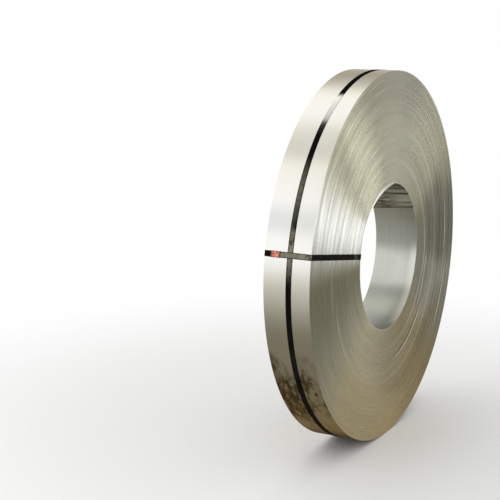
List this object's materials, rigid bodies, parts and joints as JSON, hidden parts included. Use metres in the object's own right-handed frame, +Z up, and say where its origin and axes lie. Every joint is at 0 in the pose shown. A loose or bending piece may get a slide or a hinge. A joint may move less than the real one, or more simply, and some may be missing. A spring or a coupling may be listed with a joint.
{
  "type": "slit steel coil",
  "caption": "Narrow slit steel coil standing on its rim, strip wound tightly around a round open eye, tied by a black steel strap around the rim and another through the eye with a red seal.",
  "frame": {"origin": "on the floor, under the middle of the coil's width, straight below its axis", "axes": "+X along the coil's axis, out of the end that the picture shows; +Z up"},
  "size_m": [0.1623, 1.2776, 1.2776],
  "materials": {
    "strip_steel": "cold-rolled strip, satin on the rim and bore, streaked by the slit edges of the turns on the ends",
    "strap_black": "gloss black painted steel strapping",
    "seal_red": "red painted crimp seal",
    "seal_steel": "dark waxed crimp seal"
  },
  "bodies": {
    "root": {"wound_strip": "strip_steel", "hoop_strap": "strap_black", "eye_strap": "strap_black", "hoop_strap_seal": "seal_steel", "eye_strap_seal": "seal_red"}
  },
  "joints": []
}
